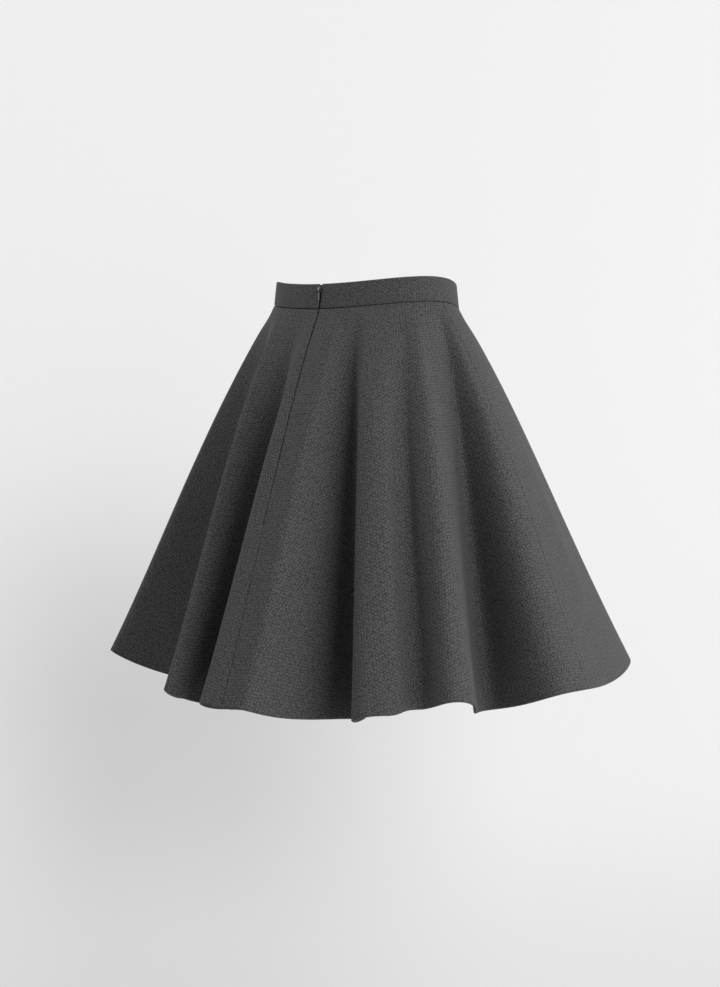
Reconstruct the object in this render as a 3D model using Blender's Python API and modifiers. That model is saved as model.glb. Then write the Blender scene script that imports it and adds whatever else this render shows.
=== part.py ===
"""A flared, knee-length skirt of thick charcoal cloth with a straight waistband and a concealed zip.

Units are metres, +Z is up and the front faces -Y. The origin is the middle of the waist opening, at half
the height of the band. Bearings run round the body in degrees from the centre back, towards the wearer's
right side, which is -X. The skirt keeps the shape that it has on a body, with folds that deepen to the hem.
"""

import math
from collections import namedtuple

import bmesh
import bpy
import numpy as np

# Waist and band
WAIST_HALF_WIDTH = 0.1250
WAIST_HALF_DEPTH = 0.0855
BAND_TOP = 0.01435
BAND_BOTTOM = -0.01435
BAND_WALL = 0.0030
BAND_LEAN = 0.0031  # how much closer to the body the band's top edge is
BAND_EDGE_ROUND = 0.0009
BAND_COLUMNS = 84
ZIP_OPENING = 0.0018  # between the band's two ends at the centre back
SADDLE = 0.008  # the waistline rises by this at the sides and drops by it at front and back
BACK_RISE = 0.010  # on top of that it rises by this at the back and drops by it at the front

# Cloth
CLOTH_WALL = 0.0020
SEAM_GAP = 0.0003
CLOTH_TOP = BAND_BOTTOM - SEAM_GAP
HIP_SWELL = 0.37
FOLD_FADE = 1.1
COLUMNS_PER_LINE = 6
ROWS = 14

# Zip
TAPE_WIDTH = 0.0120
TAPE_WALL = 0.0008
TAPE_GAP = 0.0004
COIL_WALL = 0.0020
COIL_WIDTH = 0.0018
TAPE_EDGE = 0.0008  # from the centre line to the tape
TAPE_LENGTH = 0.195
TAPE_ROWS = 18
SLIDER_DROP = 0.0065  # from the band's top edge down to the tab's axis
TAB_LENGTH = 0.0125
TAB_WIDTH = 0.0032
TAB_WALL = 0.0009
RING_RADIUS = 0.00175
RING_WIRE = 0.00045

# One row for each ridge, hollow and seam line, in order round the body from the centre back.
# waist and hem are bearings; radius is at the hem; heading is the way that the hem runs there, 0 along
# the round of the body and 90 straight out; reach is how far it keeps that heading on either side;
# swell moves the line out at half height; length is the cloth below the band.
Line = namedtuple("Line", "name waist hem radius heading reach swell length")
LINES = (
    Line("back_seam", 0.0, 9.5, 0.312, 0, 0.020, 0.000, 0.4810),
    Line("back_panel", 15.0, 14.5, 0.315, 0, 0.018, 0.002, 0.4815),
    Line("middle_hollow", 25.0, 38.0, 0.208, 30, 0.012, -0.004, 0.4705),
    Line("middle_nose", 28.5, 36.8, 0.296, 60, 0.014, 0.001, 0.4825),
    Line("middle_ridge", 38.0, 43.0, 0.308, 0, 0.020, 0.003, 0.4800),
    Line("soft_hollow", 50.0, 50.0, 0.286, 0, 0.016, -0.004, 0.4690),
    Line("right_ridge", 59.0, 56.0, 0.329, 0, 0.024, 0.003, 0.4725),
    Line("right_tuck", 64.0, 63.0, 0.292, -62, 0.010, 0.000, 0.4740),
    Line("right_hollow", 76.0, 76.5, 0.236, 60, 0.024, -0.004, 0.4690),
    Line("right_seam", 82.0, 87.0, 0.328, -10, 0.090, 0.004, 0.4715),
    Line("right_corner", 113.0, 123.0, 0.322, 0, 0.026, -0.003, 0.4695),
    Line("hip_hollow", 134.0, 138.0, 0.270, 0, 0.026, -0.002, 0.4740),
    Line("front_right_ridge", 148.0, 152.0, 0.318, 0, 0.024, 0.002, 0.4770),
    Line("front_right_hollow", 163.0, 166.0, 0.276, 0, 0.024, -0.003, 0.4740),
    Line("front_ridge", 178.0, 180.0, 0.322, 0, 0.026, 0.002, 0.4780),
    Line("front_hollow", 193.0, 194.0, 0.272, 0, 0.024, -0.003, 0.4740),
    Line("front_left_ridge", 208.0, 208.0, 0.316, 0, 0.026, 0.002, 0.4780),
    Line("front_left_hollow", 224.0, 223.0, 0.268, 0, 0.026, -0.002, 0.4740),
    Line("left_front_ridge", 240.0, 238.0, 0.320, 0, 0.026, 0.002, 0.4780),
    Line("left_hollow", 256.0, 253.0, 0.270, 0, 0.024, -0.003, 0.4740),
    Line("left_seam", 270.0, 267.0, 0.312, 0, 0.026, 0.002, 0.4770),
    Line("left_back_hollow", 284.0, 282.0, 0.276, 0, 0.024, -0.002, 0.4740),
    Line("left_corner", 298.0, 300.0, 0.3235, -8, 0.016, 0.001, 0.4775),
    Line("far_hollow", 314.0, 314.0, 0.176, 25, 0.030, -0.004, 0.4700),
    Line("far_nose", 325.0, 353.5, 0.310, 30, 0.018, 0.002, 0.4865),
    Line("near_hollow", 343.0, 357.5, 0.208, 15, 0.014, -0.004, 0.4760),
    Line("near_nose", 352.0, 363.0, 0.305, 45, 0.014, 0.000, 0.4825),
)


def clear_scene():
    for obj in list(bpy.data.objects):
        bpy.data.objects.remove(obj, do_unlink=True)
    for block in (bpy.data.meshes, bpy.data.curves, bpy.data.materials):
        for item in list(block):
            block.remove(item)


def collection(name):
    made = bpy.data.collections.new(name)
    bpy.context.scene.collection.children.link(made)
    return made


def material(name, colour, roughness, metallic=0.0):
    made = bpy.data.materials.new(name)
    made.use_nodes = True
    shader = made.node_tree.nodes["Principled BSDF"]
    shader.inputs["Base Color"].default_value = (*colour, 1.0)
    shader.inputs["Roughness"].default_value = roughness
    shader.inputs["Metallic"].default_value = metallic
    made.diffuse_color = (*colour, 1.0)
    return made


def shade(mesh, sharp_degrees=40.0):
    """Turns the faces outward and shades the mesh smooth between its sharp edges."""
    work = bmesh.new()
    work.from_mesh(mesh)
    bmesh.ops.recalc_face_normals(work, faces=work.faces)
    for face in work.faces:
        face.smooth = True
    for edge in work.edges:
        if len(edge.link_faces) == 2:
            edge.smooth = edge.calc_face_angle() < math.radians(sharp_degrees)
    work.to_mesh(mesh)
    work.free()


def add_mesh(name, points, faces, look, into):
    mesh = bpy.data.meshes.new(name)
    mesh.from_pydata([tuple(point) for point in points], [], faces)
    mesh.validate()
    shade(mesh)
    mesh.materials.append(look)
    obj = bpy.data.objects.new(name, mesh)
    into.objects.link(obj)
    return obj


def on_bearing(degrees, radius):
    angle = math.radians(degrees)
    return np.array([-math.sin(angle) * radius, math.cos(angle) * radius])


def run_of(line, turn):
    """The unit vector along the hem where it crosses this line."""
    angle = math.radians(line.hem + turn)
    heading = math.radians(line.heading)
    around = np.array([-math.cos(angle), -math.sin(angle)])
    outward = np.array([-math.sin(angle), math.cos(angle)])
    return around * math.cos(heading) + outward * math.sin(heading)


def hem_columns():
    """Waist bearing, hem point, swell and cloth length for each column of the cloth, once round the body."""
    found = []
    for place, line in enumerate(LINES):
        after = LINES[(place + 1) % len(LINES)]
        turn = 0 if place + 1 < len(LINES) else 360
        start = on_bearing(line.hem, line.radius)
        end = on_bearing(after.hem + turn, after.radius)
        leave = start + run_of(line, 0) * line.reach
        reach = end - run_of(after, turn) * after.reach
        step = np.linspace(0.0, 1.0, 200)[:, None]
        curve = (
            (1 - step) ** 3 * start
            + 3 * (1 - step) ** 2 * step * leave
            + 3 * (1 - step) * step**2 * reach
            + step**3 * end
        )
        along = np.concatenate([[0.0], np.cumsum(np.hypot(*np.diff(curve, axis=0).T))])
        along /= along[-1]
        for column in range(COLUMNS_PER_LINE):
            part = column / COLUMNS_PER_LINE
            ease = part * part * (3 - 2 * part)
            found.append(
                (
                    line.waist + (after.waist + turn - line.waist) * part,
                    np.interp(part, along, curve[:, 0]),
                    np.interp(part, along, curve[:, 1]),
                    line.swell + (after.swell - line.swell) * ease,
                    line.length + (after.length - line.length) * ease,
                )
            )
    return np.array(found)


def smooth_ring(ring):
    """The same ring with its folds taken out: its lowest two waves round the body."""
    waves = np.fft.fft(ring[:, 0] + 1j * ring[:, 1])
    order = np.fft.fftfreq(len(waves), 1 / len(waves))
    waves[abs(order) > 2] = 0
    kept = np.fft.ifft(waves)
    return np.stack([kept.real, kept.imag], axis=1)


def waist_point(bearing, lean=0.0):
    """Point and outward direction, in plan, of the waistline at a bearing in radians."""
    wide, deep = WAIST_HALF_WIDTH - lean, WAIST_HALF_DEPTH - lean
    point = np.stack([-wide * np.sin(bearing), deep * np.cos(bearing)], axis=-1)
    out = np.stack([-deep * np.sin(bearing), wide * np.cos(bearing)], axis=-1)
    return point, out / np.linalg.norm(out, axis=-1, keepdims=True)


def waist_rise(bearing):
    """How far the waistline lies over its mean height at a bearing in radians."""
    return BACK_RISE * np.cos(bearing) - SADDLE * np.cos(2 * bearing)


def cloth_rings(columns):
    """Outer points of the cloth as rings from the band down. Each column keeps its own length of cloth."""
    bearing, hem, swell, length = np.radians(columns[:, 0]), columns[:, 1:3], columns[:, 3], columns[:, 4]
    waist, out = waist_point(bearing)
    plain = smooth_ring(hem)
    height = CLOTH_TOP + waist_rise(bearing)
    rings = [np.column_stack([waist, height])]
    for row in range(1, ROWS + 1):
        down = row / ROWS
        flare = down + HIP_SWELL * down * (1 - down) ** 2
        bulge = 0.8 * (4 * down * (1 - down)) ** 2
        plan = waist + (plain - waist) * flare + (hem - plain) * down**FOLD_FADE
        plan = plan + out * (swell * bulge)[:, None]
        run = ((plan - rings[-1][:, :2]) ** 2).sum(axis=1)
        height = height - np.sqrt((length / ROWS) ** 2 - run)
        rings.append(np.column_stack([plan, height]))
    return np.array(rings)


def ring_normals(rings):
    """Outward unit normals of a grid of rings closed round the body."""
    around = np.roll(rings, -1, axis=1) - np.roll(rings, 1, axis=1)
    down = np.gradient(rings, axis=0)
    normal = np.cross(down, around)
    return normal / np.linalg.norm(normal, axis=2, keepdims=True)


def column_of(name):
    return [line.name for line in LINES].index(name) * COLUMNS_PER_LINE


def slab(outer, inner):
    """Points and faces of a closed slab between two equal grids of points."""
    rows, columns = outer.shape[:2]
    points = np.concatenate([outer.reshape(-1, 3), inner.reshape(-1, 3)])
    behind = rows * columns
    faces = []
    for row in range(rows - 1):
        for column in range(columns - 1):
            a = row * columns + column
            b, c, d = a + 1, a + columns + 1, a + columns
            faces.append((a, b, c, d))
            faces.append((a + behind, d + behind, c + behind, b + behind))
    for column in range(columns - 1):
        for row in (0, rows - 1):
            a = row * columns + column
            faces.append((a, a + 1, a + 1 + behind, a + behind))
    for row in range(rows - 1):
        for column in (0, columns - 1):
            a = row * columns + column
            faces.append((a, a + columns, a + columns + behind, a + behind))
    return points, faces


def panel(name, first, last, rings, normals, look, into):
    """One cut piece of cloth between two seam lines, held off each seam by half the gap."""
    total = rings.shape[1]
    picked = [column % total for column in range(first, last + 1)]
    outer = rings[:, picked].copy()
    inner = outer - normals[:, picked] * CLOTH_WALL
    for grid in (outer, inner):
        for edge, beside in ((0, 1), (-1, -2)):
            away = grid[:, beside] - grid[:, edge]
            away /= np.linalg.norm(away, axis=1, keepdims=True)
            grid[:, edge] += away * SEAM_GAP / 2
    return add_mesh(name, *slab(outer, inner), look, into)


def band_plan(bearing, height, inset):
    """A point of the band at this bearing and height above the waistline, measured in from its outside."""
    lean = BAND_LEAN * (height - BAND_BOTTOM) / (BAND_TOP - BAND_BOTTOM)
    point, out = waist_point(bearing, lean)
    return np.append(point - out * inset, height + waist_rise(bearing))


def band_bearings():
    """Bearings of the band's sections, closer together at its two ends."""
    end = ZIP_OPENING / 2 / WAIST_HALF_WIDTH
    near = [end, end + 0.010, end + 0.022, end + 0.045]
    between = np.linspace(near[-1], 2 * math.pi - near[-1], BAND_COLUMNS)[1:-1]
    return np.concatenate([near, between, [2 * math.pi - angle for angle in reversed(near)]])


def waistband(look, into):
    """A strip that runs round the waist from one edge of the zip to the other, with its top corners eased."""
    soft = BAND_EDGE_ROUND
    section = (
        (BAND_BOTTOM, 0.0),
        ((BAND_TOP + BAND_BOTTOM) / 2, 0.0),
        (BAND_TOP - soft, 0.0),
        (BAND_TOP - soft * 0.3, soft * 0.3),
        (BAND_TOP, soft),
        (BAND_TOP, BAND_WALL - soft),
        (BAND_TOP - soft * 0.3, BAND_WALL - soft * 0.3),
        (BAND_TOP - soft, BAND_WALL),
        ((BAND_TOP + BAND_BOTTOM) / 2, BAND_WALL),
        (BAND_BOTTOM, BAND_WALL),
    )
    bearings = band_bearings()
    drops = np.zeros(len(bearings))
    drops[:3] = 0.0022, 0.0010, 0.0003
    drops[-3:] = 0.0003, 0.0010, 0.0022
    points = []
    for bearing, drop in zip(bearings, drops):
        for height, inset in section:
            lowered = height - drop * (height > BAND_TOP - 2 * soft)
            points.append(band_plan(bearing, lowered, inset))
    size, faces = len(section), []
    for row in range(len(bearings) - 1):
        for corner in range(size):
            a, b = row * size + corner, row * size + (corner + 1) % size
            faces.append((a, b, b + size, a + size))
    faces.append(tuple(range(size)))
    faces.append(tuple(len(points) - size + corner for corner in reversed(range(size))))
    return add_mesh("waistband", points, faces, look, into)


def inside_cloth(rings, normals, side, depth, distance, inset):
    """A point inside the skirt: this far down from the band's top, round from the back seam and in."""
    band = BAND_TOP - BAND_BOTTOM
    if depth <= band:
        return band_plan(side * distance / WAIST_HALF_WIDTH, BAND_TOP - depth, BAND_WALL + TAPE_GAP + inset)
    row = (depth - band) / (LINES[0].length / ROWS)
    upper = min(int(row), ROWS - 1)
    part = row - upper
    near = [(side * column) % rings.shape[1] for column in range(8)]
    ring = (rings[upper] * (1 - part) + rings[upper + 1] * part)[near]
    facing = (normals[upper] * (1 - part) + normals[upper + 1] * part)[near]
    along = np.concatenate([[0.0], np.cumsum(np.linalg.norm(np.diff(ring, axis=0), axis=1))])
    point = np.array([np.interp(distance, along, ring[:, axis]) for axis in range(3)])
    out = np.array([np.interp(distance, along, facing[:, axis]) for axis in range(3)])
    ease = min(1.0, max(0.0, (depth - band - 0.004) / 0.012))
    wall = BAND_WALL + (CLOTH_WALL - BAND_WALL) * ease
    return point - out / np.linalg.norm(out) * (wall + TAPE_GAP + inset)


def zip_tape(name, side, rings, normals, look, into):
    """One side of the zip: a flat tape against the inside of the cloth, with its coil along the centre."""
    points = []
    across = np.linspace(TAPE_EDGE, TAPE_EDGE + TAPE_WIDTH, 6)
    size = 2 * len(across) + 1
    coil_top = SLIDER_DROP + 0.0052
    band = BAND_TOP - BAND_BOTTOM
    depths = [0.0012, SLIDER_DROP, coil_top, coil_top + 0.0006, 0.021, band, band + 0.004]
    depths += list(np.linspace(band + 0.012, TAPE_LENGTH, TAPE_ROWS))
    for depth in depths:
        coil = COIL_WALL if depth > coil_top else TAPE_WALL + 0.00002
        section = [(distance, 0.0) for distance in across]
        section += [(distance, TAPE_WALL) for distance in across[:0:-1]]
        section += [(TAPE_EDGE + COIL_WIDTH, coil), (TAPE_EDGE, coil)]
        for distance, inset in section:
            points.append(inside_cloth(rings, normals, side, depth, distance, inset))
    faces = []
    for row in range(len(depths) - 1):
        for corner in range(size):
            a, b = row * size + corner, row * size + (corner + 1) % size
            faces.append((a, b, b + size, a + size))
    faces.append(tuple(range(size)))
    faces.append(tuple(len(points) - size + corner for corner in reversed(range(size))))
    return add_mesh(name, points, faces, look, into)


def block(name, low, high, into, look, bevel=0.0, segments=2):
    """A box between two corners, with a small bevel where asked."""
    low, high = np.array(low), np.array(high)
    corners = [[(low, high)[(index >> axis) & 1][axis] for axis in range(3)] for index in range(8)]
    faces = [(0, 2, 3, 1), (4, 5, 7, 6), (0, 1, 5, 4), (2, 6, 7, 3), (0, 4, 6, 2), (1, 3, 7, 5)]
    obj = add_mesh(name, corners, faces, look, into)
    if bevel:
        rounded = obj.modifiers.new("rounded", "BEVEL")
        rounded.width = bevel
        rounded.segments = segments
        rounded.limit_method = "NONE"
    return obj


def hide(obj):
    obj.hide_render = True
    obj.display_type = "WIRE"


def combine(obj, other, operation):
    step = obj.modifiers.new(other.name, "BOOLEAN")
    step.operation = operation
    step.solver = "EXACT"
    step.object = other
    hide(other)


def zip_slider(axis, look, into, helpers):
    """The slider: a body inside the band, a neck through the opening and a ring for the tab outside."""
    z = axis[2]
    on_band = z - waist_rise(0.0)
    inside = band_plan(0.0, on_band, BAND_WALL + TAPE_GAP + TAPE_WALL + 2 * SEAM_GAP)[1]
    outside = band_plan(0.0, on_band, -SEAM_GAP)[1]
    body = block(
        "zip_slider", (-0.0026, inside - 0.0024, z - 0.0048), (0.0026, inside, z + 0.0040), into, look, 0.0006
    )
    neck = block(
        "slider_neck", (-0.0005, inside - 0.0010, z - 0.0026), (0.0005, outside + 0.0004, z + 0.0026), helpers, look
    )
    plate = block(
        "slider_plate", (-0.0014, outside, z - 0.0030), (0.0014, outside + 0.0009, z + 0.0030), helpers, look, 0.0002
    )
    points, faces = ring_wire(axis, RING_RADIUS, RING_WIRE, 28, 10)
    ring = add_mesh("slider_ring", points, faces, look, helpers)
    for piece in (neck, plate, ring):
        combine(body, piece, "UNION")
    return body


def ring_wire(centre, radius, wire, steps, sides):
    """A wire ring that stands in the plane across X."""
    points, faces = [], []
    for step in range(steps):
        turn = 2 * math.pi * step / steps
        for side in range(sides):
            round_wire = 2 * math.pi * (side + 0.5) / sides
            reach = radius + wire * math.cos(round_wire)
            points.append(
                (
                    centre[0] + wire * math.sin(round_wire),
                    centre[1] + reach * math.cos(turn),
                    centre[2] + reach * math.sin(turn),
                )
            )
            after, next_side = (step + 1) % steps, (side + 1) % sides
            faces.append(
                (step * sides + side, step * sides + next_side, after * sides + next_side, after * sides + side)
            )
    return points, faces


def zip_pull(axis, look, into, helpers):
    """The tab: a flat strip with a round end, hung by the bar above its window. Its origin is on the axis."""
    half, deep = TAB_WIDTH / 2, TAB_WALL / 2
    outline = [(-half, deep), (half, deep)]
    for step in range(9):
        turn = math.pi * step / 8
        outline.append((half * math.cos(turn) * 0.92, -TAB_LENGTH + half - half * math.sin(turn)))
    count = len(outline)
    points = [(x, -deep, z) for x, z in outline] + [(x, deep, z) for x, z in outline]
    faces = [tuple(range(count)), tuple(range(2 * count - 1, count - 1, -1))]
    faces += [(a, (a + 1) % count, (a + 1) % count + count, a + count) for a in range(count)]
    tab = add_mesh("zip_pull", points, faces, look, into)
    tab.location = axis
    window = block(
        "pull_window", (-0.00095, -0.002, -0.0037), (0.00095, 0.002, -deep), helpers, look
    )
    window.location = axis
    combine(tab, window, "DIFFERENCE")
    eased = tab.modifiers.new("eased", "BEVEL")
    eased.width = 0.00014
    eased.segments = 1
    eased.limit_method = "ANGLE"
    eased.angle_limit = math.radians(50)
    return tab


def main():
    clear_scene()
    skirt = collection("a_line_skirt")
    helpers = collection("cutters")
    cloth = material("charcoal_cloth", (0.045, 0.045, 0.048), 0.85)
    band_cloth = material("band_cloth", (0.048, 0.048, 0.051), 0.85)
    tape_cloth = material("zip_tape_cloth", (0.020, 0.020, 0.022), 0.80)
    metal = material("dark_metal", (0.16, 0.16, 0.17), 0.32, 0.9)

    rings = cloth_rings(hem_columns())
    normals = ring_normals(rings)
    total = rings.shape[1]
    right, left = column_of("right_seam"), column_of("left_seam")
    panel("skirt_back_right", 0, right, rings, normals, cloth, skirt)
    panel("skirt_front", right, left, rings, normals, cloth, skirt)
    panel("skirt_back_left", left, total, rings, normals, cloth, skirt)
    waistband(band_cloth, skirt)
    zip_tape("zip_tape_right", 1, rings, normals, tape_cloth, skirt)
    zip_tape("zip_tape_left", -1, rings, normals, tape_cloth, skirt)

    on_band = BAND_TOP - SLIDER_DROP
    out = band_plan(0.0, on_band, -SEAM_GAP)[1] + 0.0009 + RING_RADIUS - RING_WIRE * 0.6
    axis = (0.0, out, on_band + waist_rise(0.0))
    zip_slider(axis, metal, skirt, helpers)
    zip_pull(axis, metal, skirt, helpers)


main()
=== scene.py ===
"""The looks of a flared charcoal skirt with a straight waistband and a concealed zip at the back.

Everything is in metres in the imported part's own frame: the origin is the middle of the waist opening, +Z is
up, the front faces -Y and the zip is at +Y. Bearings run round the body in degrees from the centre back
towards the wearer's right side, which is -X. A place on the cloth is a line number, counted round the body
along LINES and with parts of a line between them, and a share of the way down from the waistband (0) to the
hem (1).
"""

import logging
import math
from dataclasses import dataclass, field
from enum import Enum
from typing import NamedTuple

import bpy
import numpy as np
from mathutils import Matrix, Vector


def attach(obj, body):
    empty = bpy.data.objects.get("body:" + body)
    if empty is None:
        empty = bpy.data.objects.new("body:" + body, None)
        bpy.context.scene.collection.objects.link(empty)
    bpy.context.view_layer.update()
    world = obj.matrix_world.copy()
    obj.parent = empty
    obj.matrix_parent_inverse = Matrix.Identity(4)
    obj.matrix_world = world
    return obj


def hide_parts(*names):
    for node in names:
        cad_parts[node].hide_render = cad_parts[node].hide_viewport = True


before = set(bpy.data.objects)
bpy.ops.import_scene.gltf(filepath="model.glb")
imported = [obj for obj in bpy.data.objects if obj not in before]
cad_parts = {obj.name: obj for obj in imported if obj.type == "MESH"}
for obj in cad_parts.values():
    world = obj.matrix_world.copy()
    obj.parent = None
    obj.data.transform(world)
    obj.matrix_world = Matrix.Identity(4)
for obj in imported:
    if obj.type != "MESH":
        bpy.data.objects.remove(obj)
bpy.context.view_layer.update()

LOG = logging.getLogger("skirt")
SKIRT_BODY = "skirt"
FLAT_MAP = "flat_cloth"
MM = 0.001
CLOTH_WALL = 0.0018
HEM_TURN = 0.030
MEAN_LENGTH = 0.477


class FoldLine(NamedTuple):
    """One ridge, hollow or seam of the cloth, in degrees and metres.

    The waist and the hem are its bearings there, and the radius is the hem's distance from the middle. The
    hem's curve passes there with a heading, how far it turns from running straight round, and a reach, how
    long it holds that heading. The swell is how far the cloth stands out half-way down, and the length is
    that of the cloth from the band to the hem.
    """

    name: str
    waist: float
    hem: float
    radius: float
    heading: float
    reach: float
    swell: float
    length: float


LINES = (
    FoldLine("back_seam", 0.0, 9.5, 0.312, 0, 0.020, 0.000, 0.4850),
    FoldLine("back_panel", 15.0, 14.5, 0.315, 0, 0.018, 0.002, 0.4845),
    FoldLine("middle_hollow", 25.0, 37.4, 0.208, 30, 0.012, -0.004, 0.4705),
    FoldLine("middle_nose", 28.5, 36.2, 0.296, 60, 0.014, 0.001, 0.4825),
    FoldLine("middle_ridge", 38.0, 43.0, 0.308, 0, 0.020, 0.003, 0.4800),
    FoldLine("soft_hollow", 50.0, 50.0, 0.286, 0, 0.016, -0.004, 0.4690),
    FoldLine("right_ridge", 59.0, 56.0, 0.329, 0, 0.024, 0.003, 0.4725),
    FoldLine("right_tuck", 64.0, 63.0, 0.292, -62, 0.010, 0.000, 0.4740),
    FoldLine("right_hollow", 76.0, 76.5, 0.236, 60, 0.024, -0.004, 0.4690),
    FoldLine("right_seam", 82.0, 87.0, 0.328, -10, 0.090, 0.004, 0.4715),
    FoldLine("right_corner", 113.0, 123.0, 0.322, 0, 0.026, -0.003, 0.4695),
    FoldLine("hip_hollow", 134.0, 138.0, 0.270, 0, 0.026, -0.002, 0.4740),
    FoldLine("front_right_ridge", 148.0, 152.0, 0.318, 0, 0.024, 0.002, 0.4770),
    FoldLine("front_right_hollow", 163.0, 166.0, 0.276, 0, 0.024, -0.003, 0.4740),
    FoldLine("front_ridge", 178.0, 180.0, 0.322, 0, 0.026, 0.002, 0.4780),
    FoldLine("front_hollow", 193.0, 194.0, 0.272, 0, 0.024, -0.003, 0.4740),
    FoldLine("front_left_ridge", 208.0, 208.0, 0.316, 0, 0.026, 0.002, 0.4780),
    FoldLine("front_left_hollow", 224.0, 223.0, 0.268, 0, 0.026, -0.002, 0.4740),
    FoldLine("left_front_ridge", 240.0, 238.0, 0.320, 0, 0.026, 0.002, 0.4780),
    FoldLine("left_hollow", 256.0, 253.0, 0.270, 0, 0.024, -0.003, 0.4740),
    FoldLine("left_seam", 270.0, 267.0, 0.312, 0, 0.026, 0.002, 0.4770),
    FoldLine("left_back_hollow", 284.0, 282.0, 0.276, 0, 0.024, -0.002, 0.4740),
    FoldLine("left_corner", 298.0, 300.0, 0.3235, -8, 0.016, 0.001, 0.4775),
    FoldLine("far_hollow", 314.0, 314.0, 0.176, 25, 0.030, -0.004, 0.4700),
    FoldLine("far_nose", 325.0, 353.5, 0.310, 30, 0.018, 0.002, 0.4865),
    FoldLine("near_hollow", 347.0, 357.5, 0.208, 15, 0.014, -0.004, 0.4710),
    FoldLine("near_nose", 356.0, 363.0, 0.305, 45, 0.014, 0.000, 0.4825),
)


class Crease(NamedTuple):
    """A soft trough (depth under 0) or ridge (over 0) that runs down from one place to another.

    Each end is a place on the cloth: a line number and a share of the way down.
    """

    name: str
    top_line: float
    top_down: float
    low_line: float
    low_down: float
    half_width: float
    depth: float


CREASES = (
    Crease("zip_end_dip", 0.05, 0.30, 0.30, 0.52, 0.012, -0.0007),
    Crease("back_panel_dip", 1.50, 0.02, 1.62, 0.55, 0.012, -0.0022),
    Crease("middle_lift", 3.55, 0.10, 3.60, 0.62, 0.010, 0.0009),
    Crease("middle_dip", 4.50, 0.04, 4.58, 0.98, 0.013, -0.0034),
    Crease("soft_lift", 5.30, 0.08, 5.30, 0.95, 0.014, 0.0030),
    Crease("right_dip", 6.55, 0.06, 6.50, 0.34, 0.010, -0.0010),
    Crease("seam_dip", 8.55, 0.05, 8.40, 0.55, 0.012, -0.0010),
    Crease("corner_lift", 9.50, 0.30, 9.45, 0.92, 0.018, 0.0014),
    Crease("hip_dip", 10.50, 0.03, 10.55, 0.36, 0.011, -0.0013),
    Crease("front_right_lift", 12.45, 0.18, 12.50, 0.70, 0.012, 0.0010),
    Crease("front_dip", 13.55, 0.04, 13.50, 0.44, 0.010, -0.0012),
    Crease("front_lift", 14.50, 0.25, 14.40, 0.86, 0.014, 0.0011),
    Crease("front_left_dip", 16.45, 0.05, 16.50, 0.31, 0.010, -0.0013),
    Crease("left_front_lift", 17.55, 0.12, 17.60, 0.66, 0.011, 0.0010),
    Crease("left_dip", 19.50, 0.04, 19.45, 0.48, 0.012, -0.0012),
    Crease("left_back_lift", 21.45, 0.20, 21.50, 0.75, 0.012, 0.0009),
    Crease("far_dip", 22.50, 0.05, 22.55, 0.38, 0.011, -0.0011),
    Crease("near_lift", 25.50, 0.12, 25.55, 0.50, 0.008, 0.0006),
)


class Side(Enum):
    """The wearer's side that a piece of the zip lies on. The value is the way that its distances run."""

    RIGHT = 1
    LEFT = -1


def line_number(name: str) -> int:
    """Returns a line's place in LINES."""
    return [line.name for line in LINES].index(name)


def round_inset(distance: np.ndarray, radius: float) -> np.ndarray:
    """How far a rolled edge lies under the face.

    Args:
        distance: distances from the edge, in metres.
        radius: the roll's radius.

    Returns:
        The depth under the face at each distance: the radius at the edge, and nothing past the roll.
    """
    short = np.clip(1 - np.asarray(distance) / radius, 0, 1)
    return radius * (1 - np.sqrt(1 - short**2))


@dataclass
class WaistForm:
    """The waistline that the band and the top of the cloth follow."""

    half_width: float = 0.1250
    half_depth: float = 0.0855
    saddle: float = 0.008
    back_rise: float = 0.010
    top: float = 0.01435
    bottom: float = -0.01435
    lean: float = 0.0031

    def rise(self, bearing: np.ndarray) -> np.ndarray:
        """Returns how far the waistline lies over its mean height at bearings in radians."""
        bearing = np.asarray(bearing)
        return self.back_rise * np.cos(bearing) - self.saddle * np.cos(2 * bearing)

    def plan(self, bearing: np.ndarray, lean: np.ndarray | float = 0.0) -> tuple[np.ndarray, np.ndarray]:
        """Points and outward directions of the waistline in plan.

        Args:
            bearing: bearings in radians.
            lean: how much closer to the body the line is.

        Returns:
            The points and the unit outward directions, each with two columns.
        """
        wide, deep = self.half_width - lean, self.half_depth - lean
        point = np.stack([-wide * np.sin(bearing), deep * np.cos(bearing)], axis=-1)
        out = np.stack([-deep * np.sin(bearing), wide * np.cos(bearing)], axis=-1)
        return point, out / np.linalg.norm(out, axis=-1, keepdims=True)

    def band_point(self, bearing: np.ndarray, height: np.ndarray, inset: np.ndarray) -> np.ndarray:
        """Points of the band.

        Args:
            bearing: bearings in radians.
            height: heights over the waistline.
            inset: distances in from the band's outside.

        Returns:
            The points, with three columns.
        """
        bearing, height, inset = np.broadcast_arrays(bearing, height, inset)
        lean = self.lean * (height - self.bottom) / (self.top - self.bottom)
        point, out = self.plan(bearing, lean)
        flat = point - out * inset[..., None]
        return np.concatenate([flat, (height + self.rise(bearing))[..., None]], axis=-1)


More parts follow.
